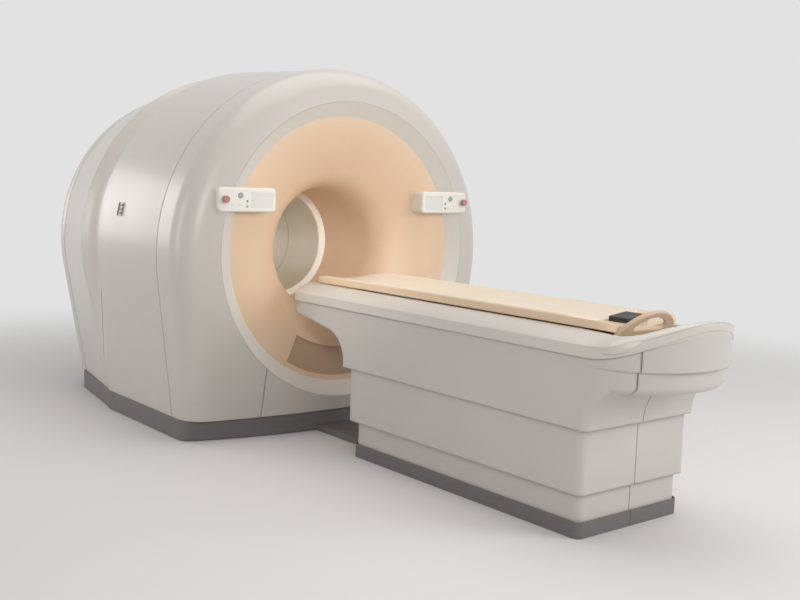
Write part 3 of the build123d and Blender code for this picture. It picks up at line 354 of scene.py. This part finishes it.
def speckled(name, colour, rough):
    """Textured dark skirting: a pebbled skin with paler flecks and scuffs."""
    low, high = rough
    skin = Finish(name, high)
    flecks = skin.noise(260.0, 3.0)
    scuffs = skin.ramp(skin.noise(11.0, 6.0, skin.stretched((1.0, 1.0, 5.0))),
                       (0.35, tinted(colour, 0.92)), (0.75, tinted(colour, 1.16)))
    grain = skin.ramp(flecks, (0.35, tinted(colour, 0.88)), (0.62, colour),
                      (0.85, tinted(colour, 1.2)))
    skin.colour(skin.mixed(skin.noise(3.0), grain, scuffs))
    skin.rough(skin.noise(18.0, 4.0), low, high)
    skin.relief(flecks, 0.00005)
    return skin.material


def worn_copper(name, colour):
    """Contact tracks worn bright in rings round the bore."""
    track = Finish(name, 0.3, metallic=1.0)
    wear = track.noise(150.0, 5.0)
    track.colour(track.ramp(wear, (0.3, tinted(colour, 0.8)), (0.7, tinted(colour, 1.15))))
    track.rough(wear, 0.22, 0.4)
    track.relief(wear, 0.00004)
    return track.material


def panel_with_painted_shade(name, colour, dark):
    """The funnel's lower panel: its own colour on the lip, and a painted shade, darker and browner, on
    the panel inside it.
    """
    panel = Finish(name, 0.46)
    drop = panel.math("SUBTRACT", panel.axis("Z"), AXIS_Z)
    aside = panel.axis("X")
    far = panel.math("SQRT", panel.math("ADD", panel.math("MULTIPLY", drop, drop),
                                        panel.math("MULTIPLY", aside, aside)))
    drift = panel.noise(1.7, 4.0)
    lip = panel.ramp(drift, (0.25, tinted(colour, 0.96)), (0.75, tinted(colour, 1.04)))
    # painted shade: inside the lip the panel is coloured darker, standing in for the shade that falls
    # there under the table
    painted_shade = panel.ramp(drift, (0.25, tinted(dark, 0.95)), (0.75, tinted(dark, 1.05)))
    panel.colour(panel.mixed(panel.math("GREATER_THAN", far, FUNNEL_LIP_R), painted_shade, lip))
    panel.rough(panel.noise(9.0, 5.0), 0.40, 0.50)
    panel.relief(panel.noise(60.0, 2.0), 0.000005)
    return panel.material


def two_lamps(name, upper, lower, level):
    """Lamp lenses: one tone above a height and another below it."""
    lens = Finish(name, 0.18, coat=0.5)
    above = lens.math("GREATER_THAN", lens.axis("Z"), level)
    lens.colour(lens.ramp(above, (0.0, lower), (1.0, upper)))
    lens.rough(lens.noise(300.0), 0.12, 0.24)
    return lens.material


def keypad_finish(name, plate, bar, key):
    """The flank keypad: a pale plate, a dark bar at its rear and three grey keys."""
    low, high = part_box("side_keypad")
    reach = high.y - low.y
    pad = Finish(name, 0.4)
    y, z = pad.axis("Y"), pad.axis("Z")
    base = pad.ramp(pad.noise(40.0), (0.3, tinted(plate, 0.95)), (0.7, tinted(plate, 1.03)))
    on_bar = pad.math("MULTIPLY", pad.math("GREATER_THAN", y, low.y + BAR_FROM_SHARE * reach),
                      pad.math("LESS_THAN", y, low.y + BAR_TO_SHARE * reach))
    on_row = pad.math("LESS_THAN", y, low.y + KEYS_SHARE * reach)
    off_centre = pad.math("SUBTRACT", z, (low.z + high.z) / 2 - KEY_PHASE)
    band = pad.math("PINGPONG", off_centre, KEY_PITCH)
    on_key = pad.math("MULTIPLY", on_row, pad.math("LESS_THAN", band, KEY_HALF))
    dark = pad.ramp(pad.noise(60.0), (0.3, tinted(bar, 0.85)), (0.7, tinted(bar, 1.2)))
    grey = pad.ramp(pad.noise(60.0), (0.3, tinted(key, 0.92)), (0.7, tinted(key, 1.06)))
    pad.colour(pad.mixed(on_bar, pad.mixed(on_key, base, grey), dark))
    pad.rough(pad.noise(25.0), 0.34, 0.46)
    pad.relief(pad.noise(300.0), 0.00002)
    return pad.material


PEARL = (0.560, 0.525, 0.490)
PEACH = (0.712, 0.523, 0.360)
TABLE_GREY = (0.555, 0.525, 0.495)
lamp_low, lamp_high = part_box("panel_lamps")

finishes = {
    "gantry_shell": pearl("pearl_gantry_shell", PEARL, (0.32, 0.36), SKIRT_TOP, 0.5),
    "trim_ring": moulded("pale_trim_ring", (0.695, 0.660, 0.612), (0.32, 0.42)),
    "funnel": moulded("peach_funnel", PEACH, (0.36, 0.46)),
    "bore_lining": moulded("greige_bore_lining", (0.640, 0.590, 0.490), (0.34, 0.44)),
    "step_ring": moulded("cream_step_ring", (0.900, 0.875, 0.815), (0.22, 0.30), coat=0.2),
    "kick_skirt": speckled("grey_kick_skirt", (0.150, 0.148, 0.145), (0.48, 0.60)),
    "inner_panel": moulded("grey_closing_panel", (0.420, 0.415, 0.405), (0.42, 0.52)),
    "frame_steel": moulded("painted_frame", (0.180, 0.195, 0.215), (0.40, 0.52), drift=0.08),
    "rotor_alloy": brushed("turned_alloy", (0.640, 0.645, 0.655), (0.28, 0.42), (1.0, 30.0, 1.0)),
    "copper_track": worn_copper("copper_tracks", (0.760, 0.430, 0.260)),
    "tube_steel": brushed("housing_steel", (0.430, 0.440, 0.460), (0.30, 0.44), (1.0, 1.0, 24.0)),
    "crystal_block": brushed("anodised_blocks", (0.430, 0.460, 0.520), (0.34, 0.46), (18.0, 1.0, 1.0)),
    "detector_steel": brushed("detector_steel", (0.470, 0.490, 0.520), (0.32, 0.44), (1.0, 18.0, 1.0)),
    "lead_shield": moulded("painted_shield", (0.120, 0.125, 0.140), (0.50, 0.62), drift=0.10),
    "rail_steel": brushed("ground_rail", (0.560, 0.565, 0.575), (0.22, 0.34), (40.0, 1.0, 40.0)),
    "panel_shell": moulded("ivory_panel", (0.760, 0.745, 0.690), (0.30, 0.40), coat=0.1),
    "screen_glass": moulded("pale_display_window", (0.680, 0.690, 0.665), (0.12, 0.20), coat=0.4),
    "lamp_lens": two_lamps("lamp_lenses", (0.300, 0.190, 0.090), (0.300, 0.310, 0.080),
                           (lamp_low.z + lamp_high.z) / 2),
    "stop_red": moulded("stop_button_red", (0.460, 0.165, 0.150), (0.24, 0.34), coat=0.3),
    "key_grey": moulded("key_grey", (0.330, 0.330, 0.330), (0.38, 0.48)),
    "table_shell": pearl("pearl_table_shell", TABLE_GREY, (0.36, 0.46), TABLE_SKIRT_TOP, 0.35),
    "deck_white": moulded("pale_deck", (0.620, 0.585, 0.545), (0.28, 0.36), coat=0.15, grain=14.0,
                          grain_depth=0.00002, lip=DECK_LIP),
    "carbon_pallet": woven("tan_pallet_shell", (0.775, 0.595, 0.418)),
    "pad_cover": vinyl("peach_pad_cover", (0.765, 0.655, 0.515)),
    "black_block": speckled("black_block", (0.022, 0.021, 0.020), (0.46, 0.60)),
    "loop_strap": moulded("tan_pull_loop", (0.580, 0.430, 0.300), (0.42, 0.54)),
}
gasket_rubber = speckled("seam_rubber", (0.110, 0.105, 0.098), (0.66, 0.78))
own_finish = {
    "side_keypad": keypad_finish("flank_keypad", (0.520, 0.510, 0.485), (0.045, 0.045, 0.048),
                                 (0.250, 0.250, 0.250)),
    # the funnel's lower panel carries a painted shade inside its lip
    "funnel_lower_panel": panel_with_painted_shade("peach_panel_painted_shade", PEACH, (0.450, 0.300, 0.200)),
}
for node, part in nodes.items():
    part.data.materials.clear()
    part.data.materials.append(own_finish.get(node) or finishes[slot_of[node]])


# pieces
def settle(piece, body):
    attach(piece, body)
    return piece


def new_piece(name, mesh):
    piece = bpy.data.objects.new(name, mesh)
    bpy.context.scene.collection.objects.link(piece)
    return piece


def eased(node, width, segments=3):
    """A merged copy of a solid whose edges are eased, standing for that solid."""
    mesh = nodes[node].data.copy()
    mesh.name = f"{node}_eased"
    work = bmesh.new()
    work.from_mesh(mesh)
    bmesh.ops.remove_doubles(work, verts=work.verts, dist=WELD)
    bmesh.ops.dissolve_limit(work, angle_limit=FLAT_ANGLE, verts=work.verts, edges=work.edges)
    for face in work.faces:
        face.smooth = True
    work.to_mesh(mesh)
    work.free()
    if mesh.has_custom_normals:
        mesh.attributes.remove(mesh.attributes["custom_normal"])
    piece = new_piece(f"{node}_eased", mesh)
    bevel = piece.modifiers.new("eased_edges", "BEVEL")
    bevel.width = width
    bevel.segments = segments
    bevel.limit_method = "ANGLE"
    bevel.angle_limit = EASE_ANGLE
    bevel.harden_normals = True
    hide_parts(node)
    return settle(piece, body_of[node])


def hollow_pad():
    """The pad: a soft mat lying in the pallet's hollow, with rounded corners and welded edges."""
    low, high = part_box("pallet_pad")
    pallet_low, pallet_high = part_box("pallet")
    half_x, half_y = (high.x - low.x) / 2, (high.y - low.y) / 2
    middle = Vector(((low.x + high.x) / 2, (low.y + high.y) / 2))
    # the pallet's hollow is an arc through its middle and its edges
    rise, reach = pallet_high.z - low.z, (pallet_high.x - pallet_low.x) / 2
    radius = (reach ** 2 + rise ** 2) / (2 * rise)
    thick = (high.z - low.z) - (radius - math.sqrt(radius ** 2 - half_x ** 2))

    def inside(u, v):
        """A grid point drawn inside the rounded outline, with its distance from the edge."""
        x, y = u * half_x, v * half_y
        corner = PAD_HEAD_CORNER if y > 0 else PAD_FOOT_CORNER
        over_x, over_y = abs(x) - (half_x - corner), abs(y) - (half_y - corner)
        if over_x > 0 and over_y > 0:
            far, most = math.hypot(over_x, over_y), max(over_x, over_y)
            x = math.copysign(half_x - corner + over_x * most / far, x)
            y = math.copysign(half_y - corner + over_y * most / far, y)
            return x, y, corner - most
        return x, y, min(half_x - abs(x), half_y - abs(y))

    def crown(x, y, inset):
        """Height over the hollow: turned-down edge, weld line and slow unevenness."""
        turn = min(max(inset, 0.0) / PAD_EDGE, 1.0)
        height = thick * math.sqrt(1 - (1 - turn) ** 2)
        weld = math.exp(-((inset - PAD_WELD) / PAD_WELD_WIDTH) ** 2)
        uneven = noise.noise(Vector((x * 7.0, y * 3.0, 0.3))) - 0.5
        return height - turn * (PAD_WELD_DEPTH * weld + PAD_UNEVEN * max(0.0, -uneven))

    work = bmesh.new()
    for upper in (True, False):
        rows = []
        for i in range(PAD_ROWS + 1):
            row = []
            for j in range(PAD_COLUMNS + 1):
                # more points near the edges, where the mat turns down
                u = math.sin(math.pi / 2 * (2 * i / PAD_ROWS - 1))
                v = 2 * j / PAD_COLUMNS - 1
                v = math.copysign(1 - (1 - abs(v)) ** PAD_CROWDING, v)
                x, y, inset = inside(u, v)
                z = low.z + radius - math.sqrt(radius ** 2 - x ** 2)
                if upper:
                    z += crown(x, y, inset)
                row.append(work.verts.new((middle.x + x, middle.y + y, z)))
            rows.append(row)
        for i in range(PAD_ROWS):
            for j in range(PAD_COLUMNS):
                corners = [rows[i][j], rows[i + 1][j], rows[i + 1][j + 1], rows[i][j + 1]]
                work.faces.new(corners if upper else corners[::-1])
    bmesh.ops.remove_doubles(work, verts=work.verts, dist=PAD_MERGE)
    bmesh.ops.dissolve_degenerate(work, edges=work.edges, dist=WELD)
    for face in work.faces:
        face.smooth = True
    mesh = bpy.data.meshes.new("soft_pallet_pad")
    work.to_mesh(mesh)
    work.free()
    mesh.materials.append(finishes["pad_cover"])
    pad = new_piece("soft_pallet_pad", mesh)
    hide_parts("pallet_pad")
    settle(pad, body_of["pallet_pad"])


def rim_height(y):
    """The deck's top along Y, level to the foot and then rising in an arc to the tip."""
    back, rise = RISE_Y - PROW_Y, TIP_Z - RIM_Z
    radius = (back ** 2 + rise ** 2) / (2 * rise)
    return RIM_Z + radius - math.sqrt(radius ** 2 - max(0.0, RISE_Y - y) ** 2)


def rim_reach(y):
    """The deck's half width along Y, with the prow's arc in plan."""
    radius = (DECK_X ** 2 + PROW_ROUND ** 2) / (2 * PROW_ROUND)
    past = max(0.0, PROW_Y + PROW_ROUND - y)
    if past == 0.0:
        return DECK_X
    return math.sqrt(max(0.0, radius ** 2 - (radius - PROW_ROUND + past) ** 2))


def arc_through(first, middle, last, steps):
    """Points on the circle through three points of a plane."""
    (ax, ay), (bx, by), (cx, cy) = first, middle, last
    turn = 2 * (ax * (by - cy) + bx * (cy - ay) + cx * (ay - by))
    a2, b2, c2 = ax * ax + ay * ay, bx * bx + by * by, cx * cx + cy * cy
    centre = Vector(((a2 * (by - cy) + b2 * (cy - ay) + c2 * (ay - by)) / turn,
                     (a2 * (cx - bx) + b2 * (ax - cx) + c2 * (bx - ax)) / turn))
    start, end = Vector(first) - centre, Vector(last) - centre
    sweep = start.angle_signed(end)
    return [centre + Matrix.Rotation(-sweep * n / steps, 2) @ start for n in range(steps + 1)]


def crest_line():
    """The crest table as a smooth run of stations from one side to the prow's tip."""
    rim_x, rim_y, crest_x, *rest = FOOT_CREST[-2]
    past_tip = (-rim_x, rim_y, -crest_x, *rest)
    table = [FOOT_CREST[0], *FOOT_CREST, past_tip]
    for a, b, c, d in zip(table, table[1:], table[2:], table[3:]):
        for n in range(CREST_STEPS):
            t = n / CREST_STEPS
            yield [0.5 * (2 * q + (r - p) * t + (2 * p - 5 * q + 4 * r - v) * t * t
                          + (3 * q - p - 3 * r + v) * t ** 3) for p, q, r, v in zip(a, b, c, d)]
    yield list(FOOT_CREST[-1])


def crest_section(rim_x, rim_y, crest_x, crest_y, crest_z, slope):
    """One cut across a shoulder: rim, arched top, crest and inner slope down to the dish."""
    rim = Vector((min(rim_x, rim_reach(rim_y)), rim_y))
    inward = Vector((crest_x, crest_y)) - rim
    wide = inward.length
    inward.normalize()
    rim_z = rim_height(rim_y) - CREST_SINK
    # the arch comes up out of the deck's own shoulder
    lift = CREST_LIFT * min((FOOT_CREST[0][1] - rim_y) / CREST_RAMP - 1, 1)
    arch = arc_through((CREST_SINK, rim_z),
                       (wide * CREST_MID_IN, rim_z + (crest_z - rim_z) * CREST_MID_UP + lift),
                       (wide, crest_z), CREST_ARC)
    cut = [(place.x, place.y) for place in arch]
    floor_z = rim_height(crest_y) - DISH_DEPTH - 4 * CREST_SINK
    for n in range(1, CREST_SLOPE + 1):
        t = n / CREST_SLOPE
        cut.append((wide + slope * t * t, crest_z + (floor_z - crest_z) * t))
    cut.append((CREST_SINK * 8, min(floor_z, rim_z - DISH_DEPTH)))
    return [(rim.x + inward.x * across, rim.y + inward.y * across, z) for across, z in cut]


def foot_shoulders():
    """The deck's shoulders carried on past the pallet and round the prow as one raised rim."""
    half = [crest_section(*station) for station in crest_line()]
    other = [[(-x, y, z) for x, y, z in cut] for cut in reversed(half[:-1])]
    work = bmesh.new()
    cuts = [[work.verts.new(place) for place in cut] for cut in half + other]
    for one, two in zip(cuts, cuts[1:]):
        for n in range(len(one)):
            m = (n + 1) % len(one)
            work.faces.new((one[n], one[m], two[m], two[n]))
    work.faces.new(cuts[0])
    work.faces.new(cuts[-1])
    bmesh.ops.recalc_face_normals(work, faces=work.faces)
    for face in work.faces:
        face.smooth = True
    for edge in work.edges:
        edge.smooth = len(edge.link_faces) == 2 and edge.calc_face_angle(0.0) < CREASE_ANGLE
    mesh = bpy.data.meshes.new("deck_foot_rim")
    work.to_mesh(mesh)
    work.free()
    mesh.materials.append(finishes["deck_white"])
    settle(new_piece("deck_foot_rim", mesh), body_of["table_deck"])


def gasket_tree():
    """A rubber strip of a given width and depth along any curve."""
    tree = bpy.data.node_groups.new("seam_gasket", "GeometryNodeTree")
    tree.interface.new_socket("Geometry", in_out="INPUT", socket_type="NodeSocketGeometry")
    wide = tree.interface.new_socket("Width", in_out="INPUT", socket_type="NodeSocketFloat")
    deep = tree.interface.new_socket("Depth", in_out="INPUT", socket_type="NodeSocketFloat")
    tree.interface.new_socket("Geometry", in_out="OUTPUT", socket_type="NodeSocketGeometry")
    start, end = tree.nodes.new("NodeGroupInput"), tree.nodes.new("NodeGroupOutput")
    profile = tree.nodes.new("GeometryNodeCurvePrimitiveQuadrilateral")
    strip = tree.nodes.new("GeometryNodeCurveToMesh")
    strip.inputs["Fill Caps"].default_value = True
    real = tree.nodes.new("GeometryNodeRealizeInstances")
    paint = tree.nodes.new("GeometryNodeSetMaterial")
    paint.inputs["Material"].default_value = gasket_rubber
    for source, target in (
        (start.outputs["Geometry"], strip.inputs["Curve"]),
        (start.outputs["Depth"], profile.inputs["Width"]),
        (start.outputs["Width"], profile.inputs["Height"]),
        (profile.outputs["Curve"], strip.inputs["Profile Curve"]),
        (strip.outputs["Mesh"], real.inputs["Geometry"]),
        (real.outputs["Geometry"], paint.inputs["Geometry"]),
        (paint.outputs["Geometry"], end.inputs["Geometry"]),
    ):
        tree.links.new(source, target)
    return tree, wide.identifier, deep.identifier


gasket_nodes = gasket_tree()


def plain_mesh(maker, name):
    """The evaluated shape of an object as a plain mesh piece; the maker itself goes."""
    bpy.context.view_layer.update()
    shaped = maker.evaluated_get(bpy.context.evaluated_depsgraph_get())
    mesh = bpy.data.meshes.new_from_object(shaped)
    mesh.name = name
    bpy.data.objects.remove(maker)
    return new_piece(name, mesh)


def gasket(name, points, body):
    line = bpy.data.curves.new(f"{name}_line", "CURVE")
    line.dimensions = "3D"
    line.twist_mode = "Z_UP"
    spline = line.splines.new("POLY")
    spline.points.add(len(points) - 1)
    for point, place in zip(spline.points, points):
        point.co = (*place, 1.0)
    maker = new_piece(f"{name}_maker", line)
    tree, wide, deep = gasket_nodes
    strip = maker.modifiers.new("strip", "NODES")
    strip.node_group = tree
    strip[wide] = GASKET_WIDE
    strip[deep] = GASKET_DEEP
    return settle(plain_mesh(maker, name), body)


def hull_seam(radius, foot, y):
    """Points round the hull at one seam, set in from its skin, from foot over the crown to foot."""
    drop = HULL_Z - SKIRT_TOP
    turn = math.acos(radius / math.hypot(foot, drop)) - math.atan2(drop, foot)
    inner = radius - GASKET_SINK
    crown = []
    for n in range(GASKET_STEPS + 1):
        angle = turn + (math.pi - 2 * turn) * n / GASKET_STEPS
        crown.append((inner * math.cos(angle), y, HULL_Z + inner * math.sin(angle)))
    low = SKIRT_TOP + GASKET_SINK
    return [(foot - GASKET_SINK, y, low), *crown, (GASKET_SINK - foot, y, low)]


hollow_pad()
for node in ("left_panel_housing", "right_panel_housing", "side_keypad"):
    eased(node, FINE_EASE)
for node in ("left_stop_button", "right_stop_button", "left_dial_key", "right_dial_key"):
    eased(node, FINE_EASE / 2)
eased("pallet", PALLET_EASE, 5)
for node in ("pallet_pull_loop", "pallet_clamp_block"):
    eased(node, SOFT_EASE, 4)
foot_shoulders()
gasket("front_seam_gasket", hull_seam(*FRONT_SEAM), "gantry_and_table_base")
gasket("tail_seam_gasket", hull_seam(*TAIL_SEAM), "pet_gantry")


# stage
def floor():
    mesh = bpy.data.meshes.new("studio_floor")
    work = bmesh.new()
    bmesh.ops.create_circle(work, cap_ends=True, segments=96, radius=FLOOR_GONE * 1.5)
    work.to_mesh(mesh)
    work.free()
    ground = new_piece("studio_floor", mesh)
    ground.location = (0.0, FLOOR_Y, cad_box[0].z - FLOOR_GAP)
    paint = Finish("studio_floor", 0.9)
    paint.shader.inputs["Base Color"].default_value = (FLOOR_TONE, FLOOR_TONE, FLOOR_TONE, 1.0)
    paint.shader.inputs["Specular IOR Level"].default_value = 0.0
    # the floor fades into the backdrop away from the object
    away = paint.add("ShaderNodeVectorMath", operation="LENGTH")
    paint.join(paint.place, away.inputs[0])
    fade = paint.add("ShaderNodeMapRange", interpolation_type="SMOOTHSTEP")
    fade.inputs["From Min"].default_value = FLOOR_CLEAR
    fade.inputs["From Max"].default_value = FLOOR_GONE
    paint.join(away.outputs["Value"], fade.inputs["Value"])
    clear = paint.add("ShaderNodeBsdfTransparent")
    blend = paint.add("ShaderNodeMixShader")
    paint.join(fade.outputs["Result"], blend.inputs["Fac"])
    paint.join(paint.shader.outputs["BSDF"], blend.inputs[1])
    paint.join(clear.outputs["BSDF"], blend.inputs[2])
    paint.join(blend.outputs["Shader"], paint.tree.nodes["Material Output"].inputs["Surface"])
    mesh.materials.append(paint.material)


def backdrop():
    """A flat pale backdrop to the eye and to gloss, with softer light on the object."""
    world = bpy.data.worlds.new("studio")
    bpy.context.scene.world = world
    world.use_nodes = True
    tree = world.node_tree
    light = tree.nodes["Background"]
    light.inputs["Color"].default_value = (1.0, 0.985, 0.965, 1.0)
    light.inputs["Strength"].default_value = AMBIENT
    seen = tree.nodes.new("ShaderNodeBackground")
    seen.inputs["Color"].default_value = (BACKDROP, BACKDROP, BACKDROP, 1.0)
    path = tree.nodes.new("ShaderNodeLightPath")
    either = path.outputs["Is Camera Ray"]
    for ray in ("Is Glossy Ray", "Is Transmission Ray"):
        most = tree.nodes.new("ShaderNodeMath")
        most.operation = "MAXIMUM"
        tree.links.new(either, most.inputs[0])
        tree.links.new(path.outputs[ray], most.inputs[1])
        either = most.outputs["Value"]
    mix = tree.nodes.new("ShaderNodeMixShader")
    tree.links.new(either, mix.inputs["Fac"])
    tree.links.new(light.outputs["Background"], mix.inputs[1])
    tree.links.new(seen.outputs["Background"], mix.inputs[2])
    tree.links.new(mix.outputs["Shader"], tree.nodes["World Output"].inputs["Surface"])


def softbox(name, place, aim, size, watts, spread):
    lamp = bpy.data.lights.new(name, "AREA")
    lamp.shape = "RECTANGLE"
    lamp.size, lamp.size_y = size
    lamp.energy = watts
    lamp.spread = math.radians(spread)
    lamp.color = WARM_WHITE
    holder = bpy.data.objects.new(name, lamp)
    bpy.context.scene.collection.objects.link(holder)
    holder.location = place
    holder.rotation_euler = (Vector(aim) - Vector(place)).to_track_quat("-Z", "Y").to_euler()


def camera():
    level = math.cos(PITCH)
    ahead = Vector((math.sin(YAW) * level, math.cos(YAW) * level, -math.sin(PITCH)))
    right = Vector((math.cos(YAW), -math.sin(YAW), 0.0))
    up = right.cross(ahead)
    across = right * math.cos(ROLL) + up * math.sin(ROLL)
    upright = up * math.cos(ROLL) - right * math.sin(ROLL)
    lens = bpy.data.cameras.new("photo_camera")
    lens.sensor_fit = "HORIZONTAL"
    lens.sensor_width = SENSOR
    lens.lens = SENSOR * FOCAL_PIXELS / IMAGE_WIDTH
    eye = bpy.data.objects.new("photo_camera", lens)
    bpy.context.scene.collection.objects.link(eye)
    facing = Matrix((across, upright, -ahead)).transposed().to_4x4()
    eye.matrix_world = Matrix.Translation(EYE) @ facing
    bpy.context.scene.camera = eye


floor()
backdrop()
for lamp_name, setting in LAMPS.items():
    softbox(lamp_name, *setting)
camera()
bpy.context.scene.view_settings.view_transform = "Standard"
